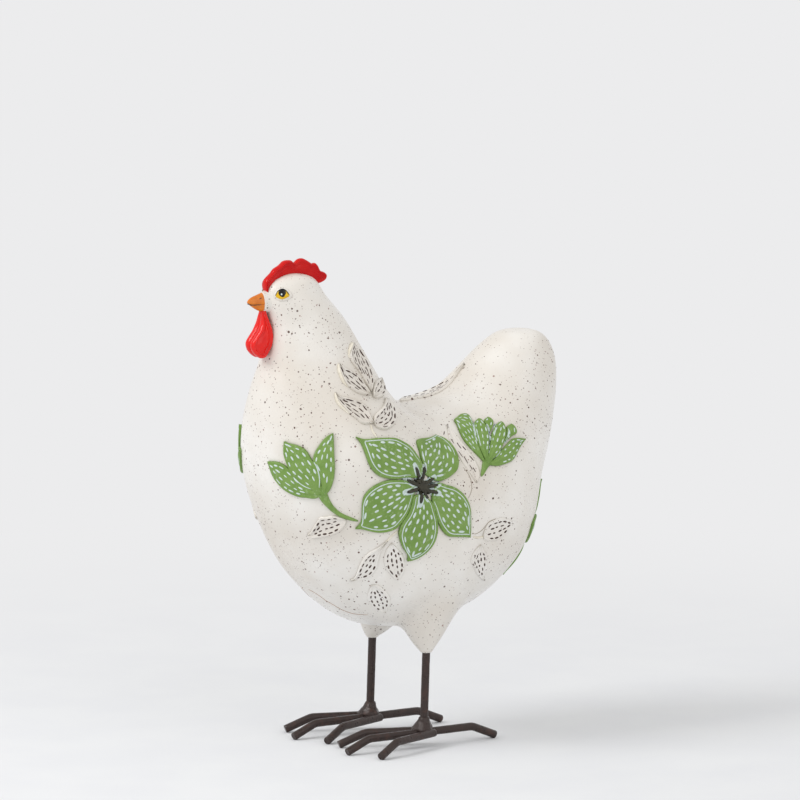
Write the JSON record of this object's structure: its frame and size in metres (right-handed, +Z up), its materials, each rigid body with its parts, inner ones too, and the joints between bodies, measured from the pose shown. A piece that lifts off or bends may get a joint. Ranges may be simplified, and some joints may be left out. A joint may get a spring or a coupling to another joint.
{
  "type": "hen figurine",
  "caption": "Hen figurine: a rounded, speckled cast body with raised folk flowers, red comb and wattles, standing on bent and welded wire legs.",
  "frame": {"origin": "middle of the footprint's bounding box, on the surface the hen stands on", "axes": "+Z up, -Y towards the beak, +X to the hen's left"},
  "size_m": [0.1056, 0.179, 0.25],
  "materials": {
    "glaze_cream": "satin glaze over cast resin, brown speckles",
    "paint_brown": "dark brown satin paint on steel wire"
  },
  "bodies": {
    "root": {"hen_body": "glaze_cream", "left_shank": "paint_brown", "left_long_toe": "paint_brown", "left_outer_toe": "paint_brown", "left_inner_toe": "paint_brown", "left_weld": "paint_brown", "right_shank": "paint_brown", "right_long_toe": "paint_brown", "right_outer_toe": "paint_brown", "right_inner_toe": "paint_brown", "right_weld": "paint_brown"}
  },
  "joints": []
}
